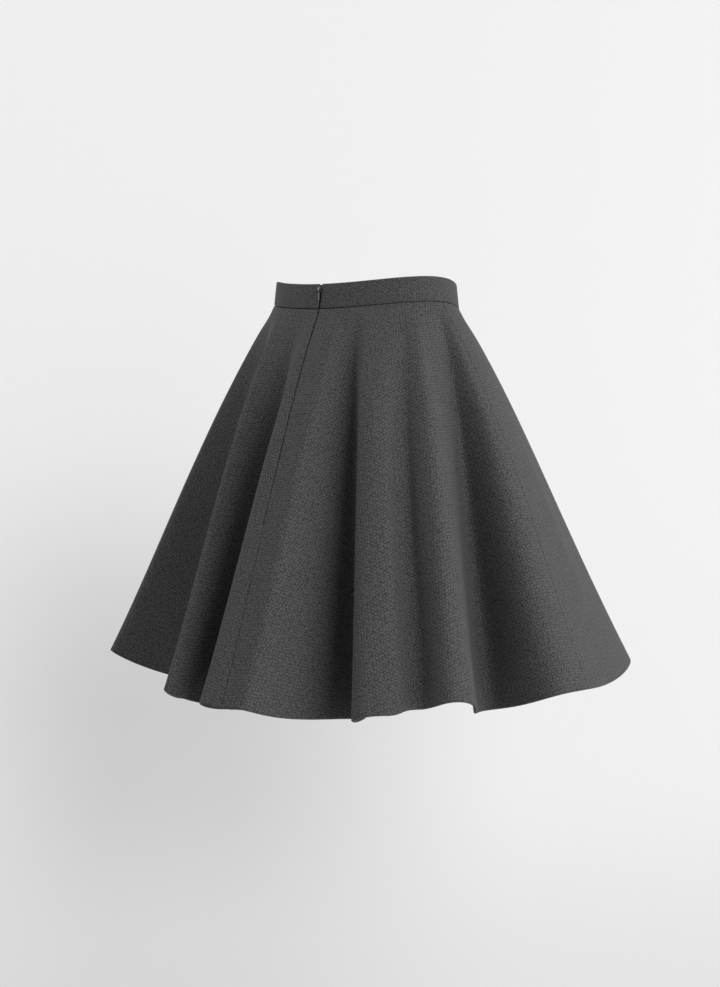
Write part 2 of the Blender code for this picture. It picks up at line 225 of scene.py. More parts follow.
@dataclass
class SkirtForm:
    """The outside of the cloth as a fine grid of points, worked out from the table of lines."""

    waist: WaistForm
    seam_gap: float = 0.0003
    hip_swell: float = 0.37
    fold_fade: float = 1.1
    fold_start: float = 0.045
    swell_share: float = 0.8
    plain_waves: int = 2
    per_line: int = 40
    steps: int = 240
    hem_steps: int = 600
    walk_lines: float = 1.6
    walk_steps: int = 65
    points: np.ndarray = field(init=False)
    normals: np.ndarray = field(init=False)
    arcs: np.ndarray = field(init=False)
    lengths: np.ndarray = field(init=False)

    def __post_init__(self) -> None:
        """Works the grid out, lays the creases in it and measures round it."""
        columns = self.hem_columns()
        self.lengths = columns[:, 4]
        self.points = self.rings(columns)
        self.measure()
        self.lay_creases()
        self.measure()

    def hem_columns(self) -> np.ndarray:
        """Returns each column's waist bearing, hem point, swell and cloth length, once round the body."""
        found = []
        for place, line in enumerate(LINES):
            after = LINES[(place + 1) % len(LINES)]
            turn = 0 if place + 1 < len(LINES) else 360
            start, leave = self.hem_handle(line, 0, 1)
            end, reach = self.hem_handle(after, turn, -1)
            step = np.linspace(0.0, 1.0, self.hem_steps)[:, None]
            rest = 1 - step
            curve = rest**3 * start + 3 * rest**2 * step * leave + 3 * rest * step**2 * reach + step**3 * end
            along = walked(curve)
            part = np.arange(self.per_line) / self.per_line
            ease = part * part * (3 - 2 * part)
            found.append(
                np.column_stack(
                    [
                        line.waist + (after.waist + turn - line.waist) * part,
                        np.interp(part * along[-1], along, curve[:, 0]),
                        np.interp(part * along[-1], along, curve[:, 1]),
                        line.swell + (after.swell - line.swell) * ease,
                        line.length + (after.length - line.length) * ease,
                    ]
                )
            )
        return np.concatenate(found)

    @staticmethod
    def hem_handle(line: FoldLine, turn: float, way: int) -> tuple[np.ndarray, np.ndarray]:
        """A line's hem point and the handle of the hem's curve there.

        Args:
            line: the line.
            turn: degrees added to its bearing, 360 past the last line.
            way: 1 for the handle ahead and -1 for the one behind.

        Returns:
            The point and the handle's end, in plan.
        """
        angle, heading = math.radians(line.hem + turn), math.radians(line.heading)
        outward = np.array([-math.sin(angle), math.cos(angle)])
        around = np.array([-math.cos(angle), -math.sin(angle)])
        run = around * math.cos(heading) + outward * math.sin(heading)
        return outward * line.radius, outward * line.radius + run * line.reach * way

    def without_folds(self, ring: np.ndarray) -> np.ndarray:
        """Returns the ring's lowest waves round the body."""
        waves = np.fft.fft(ring[:, 0] + 1j * ring[:, 1])
        waves[abs(np.fft.fftfreq(len(waves), 1 / len(waves))) > self.plain_waves] = 0
        kept = np.fft.ifft(waves)
        return np.column_stack([kept.real, kept.imag])

    def rings(self, columns: np.ndarray) -> np.ndarray:
        """The cloth's rings from the band down. Each column keeps its own length of cloth.

        Args:
            columns: what hem_columns returns.

        Returns:
            Points by ring and column.
        """
        bearing, hem = np.radians(columns[:, 0]), columns[:, 1:3]
        swell, length = columns[:, 3], columns[:, 4]
        waist, out = self.waist.plan(bearing)
        plain = self.without_folds(hem)
        down = np.linspace(0, 1, self.steps + 1)[:, None, None]
        flare = down + self.hip_swell * down * (1 - down) ** 2
        bulge = self.swell_share * (4 * down * (1 - down)) ** 2
        folds = down**self.fold_fade * (1 - np.exp(-((down / self.fold_start) ** 2)))
        plan = waist + (plain - waist) * flare + (hem - plain) * folds
        plan = plan + out * swell[:, None] * bulge
        run = (np.diff(plan, axis=0) ** 2).sum(axis=2)
        drop = np.sqrt(np.maximum((length / self.steps) ** 2 - run, 1e-12))
        top = self.waist.bottom - self.seam_gap + self.waist.rise(bearing)
        height = np.concatenate([top[None], top - np.cumsum(drop, axis=0)])
        return np.concatenate([plan, height[..., None]], axis=2)

    def measure(self) -> None:
        """Works out the outward normals and the distances round each ring from the back seam."""
        around = np.roll(self.points, -1, axis=1) - np.roll(self.points, 1, axis=1)
        normal = np.cross(np.gradient(self.points, axis=0), around)
        self.normals = normal / np.linalg.norm(normal, axis=2, keepdims=True)
        closed = np.concatenate([self.points, self.points[:, :1]], axis=1)
        steps = np.linalg.norm(np.diff(closed, axis=1), axis=2)
        self.arcs = np.concatenate([np.zeros((len(steps), 1)), np.cumsum(steps, axis=1)], axis=1)

    def lay_creases(self) -> None:
        """Moves the cloth in or out along each crease of the table."""
        down = np.linspace(0, 1, self.steps + 1)
        for crease in CREASES:
            share = np.clip((down - crease.top_down) / (crease.low_down - crease.top_down), 0, 1)
            middle = (crease.top_line + (crease.low_line - crease.top_line) * share) * self.per_line
            rings = zip(middle, self.arcs)
            centre = np.array([np.interp(place, np.arange(ring.size), ring) for place, ring in rings])
            away = self.arcs[:, :-1] - centre[:, None]
            fade = np.sin(math.pi * share) ** 2
            lift = crease.depth * fade[:, None] * np.exp(-((away / crease.half_width) ** 2))
            self.points = self.points + self.normals * lift[..., None]

    def sample(self, grid: np.ndarray, down: np.ndarray, line: np.ndarray) -> np.ndarray:
        """Reads a grid between its own points.

        Args:
            grid: points, normals or another grid by ring and column.
            down: shares of the way down.
            line: places round the body, in lines.

        Returns:
            The values there.
        """
        row = np.clip(np.asarray(down) * self.steps, 0, self.steps - 1e-9)
        column = np.asarray(line) * self.per_line
        row, column = np.broadcast_arrays(row, column)
        upper, left = row.astype(int), np.floor(column).astype(int)
        part, across = (row - upper)[..., None], (column - left)[..., None]
        left, right = left % grid.shape[1], (left + 1) % grid.shape[1]
        above = grid[upper, left] * (1 - across) + grid[upper, right] * across
        below = grid[upper + 1, left] * (1 - across) + grid[upper + 1, right] * across
        return above * (1 - part) + below * part

    def at(self, down: np.ndarray, line: np.ndarray, inset: np.ndarray) -> np.ndarray:
        """Points at a depth under the cloth's outside.

        Args:
            down: shares of the way down.
            line: places round the body, in lines.
            inset: depths under the outside.

        Returns:
            The points, with three columns.
        """
        normal = self.sample(self.normals, down, line)
        normal = normal / np.linalg.norm(normal, axis=-1, keepdims=True)
        return self.sample(self.points, down, line) - normal * np.asarray(inset)[..., None]

    def arc(self, down: np.ndarray, line: np.ndarray) -> np.ndarray:
        """Returns distances round the cloth from the back seam, at shares down and places in lines."""
        turns, rest = np.divmod(np.asarray(line, float), len(LINES))
        row = np.clip(np.asarray(down) * self.steps, 0, self.steps - 1e-9)
        row, column, turns = np.broadcast_arrays(row, rest * self.per_line, turns)
        upper, left = row.astype(int), np.minimum(column.astype(int), self.arcs.shape[1] - 2)
        part, across = row - upper, column - left
        above = self.arcs[upper, left] * (1 - across) + self.arcs[upper, left + 1] * across
        below = self.arcs[upper + 1, left] * (1 - across) + self.arcs[upper + 1, left + 1] * across
        whole = self.arcs[upper, -1] * (1 - part) + self.arcs[upper + 1, -1] * part
        return above * (1 - part) + below * part + turns * whole

    def line_off(self, down: np.ndarray, line: float, distance: float | np.ndarray) -> np.ndarray:
        """Places at a distance round the cloth from a line.

        Args:
            down: shares of the way down, one for each row.
            line: the line to start from.
            distance: metres round the cloth, under 0 back towards the line before, for all rows or each.

        Returns:
            The place, in lines, for each row.
        """
        shares, distances = np.broadcast_arrays(np.atleast_1d(down), distance)
        way = 1 if distances[0] >= 0 else -1
        near = line + np.linspace(0, self.walk_lines, self.walk_steps) * way
        found = []
        for share, far in zip(shares, distances):
            away = np.abs(self.arc(share, near) - self.arc(share, line))
            found.append(np.interp(abs(far), away, near))
        return np.array(found)


class Graph:
    """A short way to build a node tree: numbers or sockets go in, and sockets come out."""

    def __init__(self, tree: bpy.types.NodeTree) -> None:
        """Keeps the tree that the nodes are put in."""
        self.tree = tree

    def node(self, kind: str, **settings: object) -> bpy.types.Node:
        """Adds a node.

        Args:
            kind: the node's type name.
            settings: its own properties.

        Returns:
            The node.
        """
        made = self.tree.nodes.new(kind)
        for name, value in settings.items():
            setattr(made, name, value)
        return made

    def feed(self, socket: bpy.types.NodeSocket, value: object) -> None:
        """Links a socket, or sets its own value where it is given a number, colour or material."""
        if isinstance(value, bpy.types.NodeSocket):
            self.tree.links.new(value, socket)
        else:
            socket.default_value = value

    def fed(self, kind: str, inputs: dict[str | int, object], **settings: object) -> bpy.types.Node:
        """Adds a node with its inputs fed.

        Args:
            kind: the node's type name.
            inputs: a value or socket for each input, by name or number.
            settings: the node's own properties.

        Returns:
            The node.
        """
        made = self.node(kind, **settings)
        for name, value in inputs.items():
            self.feed(made.inputs[name], value)
        return made

    def math(self, operation: str, *values: object) -> bpy.types.NodeSocket:
        """Returns the result of a Math node with these inputs."""
        return self.fed("ShaderNodeMath", dict(enumerate(values)), operation=operation).outputs[0]

    def ramp(
        self, value: object, low: float, high: float, to_low: float, to_high: float
    ) -> bpy.types.NodeSocket:
        """Returns a value mapped smoothly from one range to another, and held at its ends."""
        numbers = {"Value": value, "From Min": low, "From Max": high, "To Min": to_low, "To Max": to_high}
        return self.fed("ShaderNodeMapRange", numbers, interpolation_type="SMOOTHSTEP").outputs[0]

    def noise(
        self, place: object, scale: float, detail: float, output: str = "Fac"
    ) -> bpy.types.NodeSocket:
        """Returns a Noise Texture's value, or its colour, at a place."""
        numbers = {"Vector": place, "Scale": scale, "Detail": detail}
        return self.fed("ShaderNodeTexNoise", numbers).outputs[output]

    def emboss(self, shader: bpy.types.Node, height: object, distance: float, strength: float) -> None:
        """Gives a shader a raised surface from a height."""
        numbers = {"Height": height, "Distance": distance, "Strength": strength}
        self.feed(shader.inputs["Normal"], self.fed("ShaderNodeBump", numbers).outputs[0])

    def blend(self, share: object, first: object, second: object) -> bpy.types.NodeSocket:
        """Returns a colour between two colours."""
        made = self.node("ShaderNodeMix", data_type="RGBA")
        self.feed(made.inputs["Factor"], share)
        self.feed(made.inputs["A"], first)
        self.feed(made.inputs["B"], second)
        return made.outputs["Result"]


def new_material(name: str) -> tuple[bpy.types.Material, Graph, bpy.types.Node]:
    """A material with an empty graph but for its shader.

    Args:
        name: the material's name.

    Returns:
        The material, its graph and its Principled BSDF.
    """
    made = bpy.data.materials.new(name)
    made.use_nodes = True
    return made, Graph(made.node_tree), made.node_tree.nodes["Principled BSDF"]


@dataclass(frozen=True)
class HoneycombCloth:
    """Thick charcoal cloth with a small, uneven raised honeycomb of pale knots in a darker ground; the tones
    follow the relief and are partly painted light and shade.
    """

    name: str
    knot: tuple[float, float, float]
    ground: tuple[float, float, float]
    pitch: float = 0.0039
    wander: float = 0.0045
    wander_scale: float = 210.0
    relief: float = 0.00032
    bump: float = 0.4
    yarn: float = 0.0008
    yarn_share: float = 0.35
    wave_span: tuple[float, float] = (-1.7, 2.4)
    shade_span: tuple[float, float] = (-0.15, 1.30)
    cell_scale: float = 300.0
    cell_tone: float = 0.26
    melange_scale: float = 40.0
    melange_tone: float = 0.05
    roughness: float = 0.88
    sheen: float = 0.06

    def knots(self, graph: Graph, place: bpy.types.NodeSocket) -> bpy.types.NodeSocket:
        """The rows of knots as a value from 0 in the ground to 1 on a knot.

        Args:
            graph: the material's graph.
            place: the place on the flat cloth, in metres.

        Returns:
            The value's socket.
        """
        axes = graph.fed("ShaderNodeSeparateXYZ", {0: place})
        wave = 2 * math.pi / (self.pitch * math.sqrt(3) / 2)
        total = None
        for turn in (0, 120, 240):
            along = math.cos(math.radians(turn)) * wave, math.sin(math.radians(turn)) * wave
            part = graph.math("MULTIPLY", axes.outputs[0], along[0])
            part = graph.math("MULTIPLY_ADD", axes.outputs[1], along[1], part)
            part = graph.math("COSINE", part)
            total = part if total is None else graph.math("ADD", total, part)
        return graph.ramp(total, *self.wave_span, 0.0, 1.0)

    def uneven(self, graph: Graph, place: bpy.types.NodeSocket) -> bpy.types.NodeSocket:
        """Returns the place moved about a little, so that no two knots are quite alike."""
        noise = graph.noise(place, self.wander_scale, 1.0, "Color")
        moved = graph.fed("ShaderNodeVectorMath", {0: noise, 1: (0.5, 0.5, 0.5)}, operation="SUBTRACT")
        moved = graph.fed("ShaderNodeVectorMath", {0: moved.outputs[0], 3: self.wander}, operation="SCALE")
        there = graph.fed("ShaderNodeVectorMath", {0: place, 1: moved.outputs[0]}, operation="ADD")
        return there.outputs[0]

    def make(self) -> bpy.types.Material:
        """Returns the material."""
        made, graph, shader = new_material(self.name)
        place = graph.fed("ShaderNodeUVMap", {}, uv_map=FLAT_MAP).outputs[0]
        knots = self.knots(graph, self.uneven(graph, place))
        yarn = graph.noise(place, 1 / self.yarn, 2.0)
        cells = graph.noise(place, self.cell_scale, 1.0)
        melange = graph.noise(place, self.melange_scale, 2.0)
        height = graph.math("MULTIPLY_ADD", yarn, self.yarn_share, knots)
        # The colour follows the relief's height: lighter on the raised knots and darker in the sunken ground,
        # partly painted light on the knots and painted shade in the ground.
        shade = graph.ramp(height, *self.shade_span, 0.0, 1.0)
        for noise, amount in ((cells, self.cell_tone), (melange, self.melange_tone)):
            tone = graph.ramp(noise, 0.3, 0.7, -amount, amount)
            shade = graph.math("ADD", shade, tone)
        colour = graph.blend(shade, (*self.ground, 1.0), (*self.knot, 1.0))
        graph.feed(shader.inputs["Base Color"], colour)
        graph.feed(shader.inputs["Roughness"], self.roughness)
        graph.feed(shader.inputs["Specular IOR Level"], 0.2)
        graph.feed(shader.inputs["Sheen Weight"], self.sheen)
        graph.feed(shader.inputs["Sheen Roughness"], 0.5)
        graph.feed(shader.inputs["Sheen Tint"], (0.80, 0.80, 0.82, 1.0))
        graph.emboss(shader, height, self.relief, self.bump)
        return made


@dataclass(frozen=True)
class WovenTape:
    """Fine dark woven tape, ribbed across."""

    name: str
    colour: tuple[float, float, float]
    rib: float = 0.0006
    rib_ratio: float = 1.7
    relief: float = 0.00015
    bump: float = 0.6
    roughness: float = 0.7

    def make(self) -> bpy.types.Material:
        """Returns the material."""
        made, graph, shader = new_material(self.name)
        place = graph.fed("ShaderNodeUVMap", {}, uv_map=FLAT_MAP).outputs[0]
        axes = graph.fed("ShaderNodeSeparateXYZ", {0: place})
        wave = 2 * math.pi / self.rib
        down = graph.math("SINE", graph.math("MULTIPLY", axes.outputs[1], wave))
        across = graph.math("SINE", graph.math("MULTIPLY", axes.outputs[0], wave / self.rib_ratio))
        weave = graph.ramp(graph.math("MULTIPLY", down, across), -1.0, 1.0, 0.0, 1.0)
        dark = tuple(value * 0.5 for value in self.colour)
        colour = graph.blend(weave, (*dark, 1.0), (*self.colour, 1.0))
        graph.feed(shader.inputs["Base Color"], colour)
        graph.feed(shader.inputs["Roughness"], self.roughness)
        graph.emboss(shader, weave, self.relief, self.bump)
        return made


@dataclass(frozen=True)
class SewingThread:
    """Twisted thread, or the smooth nylon of the zip's coil where its shine is higher."""

    name: str
    colour: tuple[float, float, float]
    roughness: float = 0.55
    twist: float = 0.0005
    lighter: float = 1.5
    relief: float = 0.0001
    bump: float = 0.4

    def make(self) -> bpy.types.Material:
        """Returns the material."""
        made, graph, shader = new_material(self.name)
        place = graph.node("ShaderNodeTexCoord").outputs["Object"]
        ply = graph.noise(place, 1 / self.twist, 1.0)
        light = tuple(min(1.0, value * self.lighter) for value in self.colour)
        colour = graph.blend(ply, (*self.colour, 1.0), (*light, 1.0))
        graph.feed(shader.inputs["Base Color"], colour)
        graph.feed(shader.inputs["Roughness"], self.roughness)
        graph.emboss(shader, ply, self.relief, self.bump)
        return made


@dataclass(frozen=True)
class DarkMetal:
    """Painted metal with a satin shine. Its colour is light along its middle, a painted highlight broken up a
    little by wear, and dark at its rims, painted shade.
    """

    name: str
    colour: tuple[float, float, float]
    highlight_colour: tuple[float, float, float]
    highlight_half_width: float = 0.0009
    wear_scale: float = 900.0
    roughness: tuple[float, float] = (0.28, 0.42)
    metallic: float = 0.3
    relief: float = 0.00004
    bump: float = 0.3

    def make(self) -> bpy.types.Material:
        """Returns the material."""
        made, graph, shader = new_material(self.name)
        place = graph.node("ShaderNodeTexCoord").outputs["Object"]
        wear = graph.noise(place, self.wear_scale, 3.0)
        across = graph.fed("ShaderNodeSeparateXYZ", {0: place}).outputs[0]
        half = self.highlight_half_width
        # Painted highlight: a light strip along the middle of the piece across its own X, broken up by wear;
        # the dark rims either side are painted shade.
        painted_highlight = graph.ramp(graph.math("ABSOLUTE", across), half * 1.2, half * 0.7, 0.0, 1.0)
        painted_highlight = graph.math("MULTIPLY", painted_highlight, graph.ramp(wear, 0.2, 0.6, 0.6, 1.0))
        colour = graph.blend(painted_highlight, (*self.colour, 1.0), (*self.highlight_colour, 1.0))
        graph.feed(shader.inputs["Base Color"], colour)
        graph.feed(shader.inputs["Roughness"], graph.ramp(wear, 0.3, 0.7, *self.roughness))
        graph.feed(shader.inputs["Metallic"], self.metallic)
        graph.emboss(shader, wear, self.relief, self.bump)
        return made


# The knot and ground colours are partly painted light and shade of the relief.
CLOTH = HoneycombCloth("charcoal_honeycomb", knot=(0.087, 0.087, 0.087), ground=(0.036, 0.036, 0.036))
BAND_CLOTH = HoneycombCloth("band_honeycomb", knot=(0.080, 0.080, 0.080), ground=(0.039, 0.039, 0.039))
TAPE = WovenTape("zip_tape_weave", colour=(0.020, 0.020, 0.022))
THREAD = SewingThread("charcoal_thread", colour=(0.030, 0.030, 0.032))
COIL_NYLON = SewingThread("coil_nylon", colour=(0.016, 0.016, 0.018), roughness=0.35)
# The dark colour shows at the rims as painted shade, and the light one along the middle as a painted
# highlight.
METAL = DarkMetal("dark_satin_metal", colour=(0.012, 0.012, 0.013), highlight_colour=(0.30, 0.30, 0.30))


def new_mesh_object(
    name: str,
    points: np.ndarray,
    faces: list[tuple[int, ...]],
    flat: np.ndarray | None,
    look: bpy.types.Material | None,
) -> bpy.types.Object:
    """A mesh object, shaded smooth, with its place in its mesh.

    Args:
        name: the piece's name.
        points: the mesh's points.
        faces: its faces, as point numbers.
        flat: each point's place on the flat cloth in metres, or None.
        look: its material, or None for a guide that isn't shown.

    Returns:
        The object.
    """
    mesh = bpy.data.meshes.new(name)
    mesh.from_pydata(points.tolist(), [], faces)
    mesh.shade_smooth()
    if flat is not None:
        corners = np.zeros(len(mesh.loops), np.int32)
        mesh.loops.foreach_get("vertex_index", corners)
        layer = mesh.uv_layers.new(name=FLAT_MAP)
        layer.uv.foreach_set("vector", flat[corners].astype(np.float32).ravel())
    if look is not None:
        mesh.materials.append(look)
    made = bpy.data.objects.new(name, mesh)
    bpy.context.scene.collection.objects.link(made)
    return made


def slab_faces(rows: int, columns: int) -> list[tuple[int, ...]]:
    """Faces of a closed slab between two grids of points, the outer one first and seen from outside.

    Args:
        rows: rows of each grid.
        columns: columns of each grid.

    Returns:
        The faces, turned outward.
    """
    behind, faces = rows * columns, []
    for row in range(rows - 1):
        for column in range(columns - 1):
            a = row * columns + column
            b, c, d = a + 1, a + columns + 1, a + columns
            faces.append((a, b, c, d))
            faces.append((a + behind, d + behind, c + behind, b + behind))
    last = (rows - 1) * columns
    for column in range(columns - 1):
        faces.append((column + 1, column, column + behind, column + 1 + behind))
        faces.append((last + column, last + column + 1, last + column + 1 + behind, last + column + behind))
    for row in range(rows - 1):
        a = row * columns
        b = a + columns - 1
        faces.append((a, a + columns, a + columns + behind, a + behind))
        faces.append((b + columns, b, b + behind, b + columns + behind))
    return faces


def tube_faces(rows: int, size: int) -> list[tuple[int, ...]]:
    """Faces of a closed tube through a row of sections.

    Args:
        rows: how many sections there are.
        size: points in each section.

    Returns:
        The faces, with the two ends last.
    """
    faces = []
    for row in range(rows - 1):
        for corner in range(size):
            a, b = row * size + corner, row * size + (corner + 1) % size
            faces.append((a, b, b + size, a + size))
    faces.append(tuple(range(size)))
    faces.append(tuple((rows - 1) * size + corner for corner in reversed(range(size))))
    return faces


def walked(points: np.ndarray) -> np.ndarray:
    """Returns how far along a line of points each one lies."""
    return np.concatenate([[0.0], np.cumsum(np.linalg.norm(np.diff(points, axis=0), axis=1))])


def turned_out(obj: bpy.types.Object) -> bpy.types.Object:
    """Turns a closed mesh the right way round if its faces point inwards, and returns it."""
    mesh = obj.data
    mesh.calc_loop_triangles()
    corners = np.array([triangle.vertices[:] for triangle in mesh.loop_triangles])
    points = np.array([vertex.co for vertex in mesh.vertices])
    a, b, c = (points[corners[:, corner]] for corner in range(3))
    if np.einsum("ij,ij->i", a, np.cross(b, c)).sum() < 0:
        mesh.flip_normals()
    return obj


@dataclass
class ClothPanel:
    """One cut piece of the skirt between two seam lines, with rolled edges and a turned-up hem."""

    name: str
    node: str
    first: int
    last: int
    columns_per_line: int = 20
    rows: int = 96
    wall: float = CLOTH_WALL
    edge_roll: float = 0.0012
    half_gap: float = 0.00005
    zip_half_gap: float = 0.0006
    zip_foot: float = 0.45
    hem_turn: float = HEM_TURN
    mean_length: float = MEAN_LENGTH

    def edge_distances(self) -> np.ndarray:
        """Returns distances from an edge of the rows that make its roll, the edge first."""
        return np.array([0.0, 0.12, 0.35, 0.7, 1.2, 2.2]) * MM

    def downs(self) -> np.ndarray:
        """Returns the rows' shares of the way down, closer together at the top edge and at the hem."""
        top = self.edge_distances()
        low = self.mean_length - np.array([3.4, 2.4, 1.6, 1.0, 0.55, 0.2, 0.0]) * MM
        step = self.mean_length - self.hem_turn
        upper = np.linspace(top[-1], step - 0.5 * MM, self.rows)[1:]
        lower = np.linspace(step, low[0], 9)[:-1]
        return np.concatenate([top, upper, lower, low]) / self.mean_length

    def seam_half_gap(self, downs: np.ndarray, line: int) -> np.ndarray:
        """Returns half of a seam's gap in each row. The back seam stands a little open over the zip."""
        over_zip = np.clip(1 - downs / self.zip_foot, 0, 1) if line % len(LINES) == 0 else 0 * downs
        return self.half_gap + self.zip_half_gap * np.sqrt(over_zip)

    def places(self, form: SkirtForm, downs: np.ndarray) -> tuple[np.ndarray, np.ndarray]:
        """Where the panel's columns run.

        Args:
            form: the skirt's form.
            downs: the rows' shares down.

        Returns:
            Places in lines by row and column, and each column's distance from the nearer seam edge.
        """
        edges = self.edge_distances()
        first_gap, last_gap = (self.seam_half_gap(downs, line) for line in (self.first, self.last))
        starts = [form.line_off(downs, self.first, gap + first_gap) for gap in edges]
        ends = [form.line_off(downs, self.last, -gap - last_gap) for gap in edges]
        share = np.linspace(0, 1, (self.last - self.first) * self.columns_per_line + 1)[1:-1]
        between = starts[-1][:, None] + (ends[-1] - starts[-1])[:, None] * share
        places = np.column_stack([*starts, between, *reversed(ends)])
        distance = np.concatenate([edges, np.full(len(share), 1.0), edges[::-1]])
        return places, distance

    def flat_cut(self, form: SkirtForm, downs: np.ndarray, places: np.ndarray) -> np.ndarray:
        """The panel laid out flat, as a sector whose grain runs down its middle.

        Args:
            form: the skirt's form.
            downs: the rows' shares down.
            places: the columns' places in lines, by row.

        Returns:
            Two flat coordinates by row and column, in metres.
        """
        arcs = form.arc(downs[:, None], places)
        widths = arcs[:, -1] - arcs[:, 0]
        spread = (widths[-1] - widths[0]) / self.mean_length
        angle = ((arcs - arcs[:, :1]) / widths[:, None] - 0.5) * spread
        radius = widths[0] / spread + downs[:, None] * self.mean_length
        return np.stack([radius * np.sin(angle), -radius * np.cos(angle)], axis=-1)

    def build(self, form: SkirtForm, look: bpy.types.Material) -> bpy.types.Object:
        """Builds and dresses the panel.

        Args:
            form: the skirt's form.
            look: the cloth's material.

        Returns:
            The panel.
        """
        downs = self.downs()
        places, from_seam = self.places(form, downs)
        from_hem = (1 - downs) * self.mean_length
        double = 2 * self.wall + 0.2 * MM
        hem_roll = round_inset(from_hem, double / 2)
        seam_edge = round_inset(from_seam, self.edge_roll)[None]
        edge = np.maximum(seam_edge, round_inset(downs * self.mean_length, self.edge_roll)[:, None])
        outer = np.maximum(edge, hem_roll[:, None])
        behind = np.where(from_hem <= self.hem_turn + 1e-9, double - hem_roll, self.wall)
        inner = np.broadcast_to(behind[:, None], outer.shape)
        shares = np.broadcast_to(downs[:, None], places.shape)
        sides = [form.at(shares, places, depth).reshape(-1, 3) for depth in (outer, inner)]
        flat = self.flat_cut(form, downs, places).reshape(-1, 2)
        both = np.concatenate([flat, flat])
        faces = slab_faces(*places.shape)
        made = turned_out(new_mesh_object(self.name, np.concatenate(sides), faces, both, look))
        self.declare(made, form)
        return made

    def declare(self, made: bpy.types.Object, form: SkirtForm) -> None:
        """Puts the panel on the skirt's body and hides the part that it stands in for. It measures the cut's
        width at the top, half-way down and at the hem, but nothing uses these.
        """
        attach(made, SKIRT_BODY)
        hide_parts(self.node)
        ends = [(form.arc(share, self.first), form.arc(share, self.last)) for share in (0.0, 0.5, 1.0)]


@dataclass
class Waistband:
    """The straight band: cloth folded over at the top, with rolled lower edges and rounded ends."""

    waist: WaistForm
    name: str = "waistband_cloth"
    wall: float = 0.0030
    lower_roll: float = 0.0011
    inner_drop: float = 0.0020
    inner_wall: float = 0.0009
    opening: float = 0.0023
    end_roll: float = 0.0012
    notch: float = 0.0022
    notch_reach: float = 0.0020
    layer_gap: float = 0.0002
    end_wall_share: float = 0.12
    columns: int = 420
    face_point: int = 6

    def section(self) -> np.ndarray:
        """Returns the band's section as heights and insets, from its lower outer edge to its inner one."""
        bottom, top, half = self.waist.bottom, self.waist.top, self.wall / 2
        roll = self.lower_roll
        turn = np.radians(np.linspace(0, 90, 5))
        outer_edge = [(bottom + roll - roll * math.cos(t), roll - roll * math.sin(t)) for t in turn]
        rise = top - half - bottom - roll
        face = [(bottom + roll + rise * share, 0.0) for share in (0.2, 0.4, 0.6, 0.8)]
        turn = np.radians(np.linspace(0, 180, 13))
        fold = [(top - half + half * math.sin(t), half - half * math.cos(t)) for t in turn]
        low = bottom - self.inner_drop
        inside = self.wall + self.layer_gap
        fall = top - half - low
        back = [(top - half - fall * part, self.wall + self.layer_gap * part) for part in (0.25, 0.5, 0.75)]
        edge = inside - self.inner_wall
        under = [(low + 0.3 * MM, inside), (low, inside - 0.3 * MM), (low, edge + 0.2 * MM)]
        under += [(low + 0.2 * MM, edge), (bottom + 0.1 * MM, edge)]
        return np.array(outer_edge + face + fold + back + under + [(bottom, roll + 0.2 * MM)])

    def bearings(self) -> np.ndarray:
        """Returns the sections' bearings in radians, closer together at the band's two ends."""
        first = self.opening / 2 / self.waist.half_width
        steps = np.array([0.0, 0.12, 0.35, 0.7, 1.1, 1.6, 2.4, 3.4, 4.6, 6.0]) * MM
        near = first + steps / self.waist.half_width
        between = np.linspace(near[-1], 2 * math.pi - near[-1], self.columns)[1:-1]
        return np.concatenate([near, between, 2 * math.pi - near[::-1]])

    def build(self, look: bpy.types.Material) -> bpy.types.Object:
        """Builds and dresses the band.

        Args:
            look: the band's material.

        Returns:
            The band.
        """
        bearings, section = self.bearings(), self.section()
        first = bearings[0]
        from_end = np.minimum(bearings - first, 2 * math.pi - first - bearings) * self.waist.half_width
        full = np.sqrt(1 - np.clip(1 - from_end / self.end_roll, 0, 1) ** 2)
        full = full * (1 - self.end_wall_share) + self.end_wall_share
        drop = self.notch * np.clip(1 - from_end / self.notch_reach, 0, 1) ** 2
        tall = self.waist.top - self.waist.bottom
        top_share = np.clip((section[:, 0] - self.waist.bottom) / tall, 0, 1) ** 3
        middle = self.wall / 2
        heights = section[None, :, 0] - drop[:, None] * top_share
        insets = middle + (section[None, :, 1] - middle) * full[:, None]
        points = self.waist.band_point(bearings[:, None], heights, insets)
        faces = tube_faces(*points.shape[:2])
        around, path = walked(points[:, self.face_point]), walked(section)
        flat = np.stack(np.broadcast_arrays(around[:, None], path[None]), axis=-1).reshape(-1, 2)
        made = turned_out(new_mesh_object(self.name, points.reshape(-1, 3), faces, flat, look))
        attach(made, SKIRT_BODY)
        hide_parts("waistband")
        return made


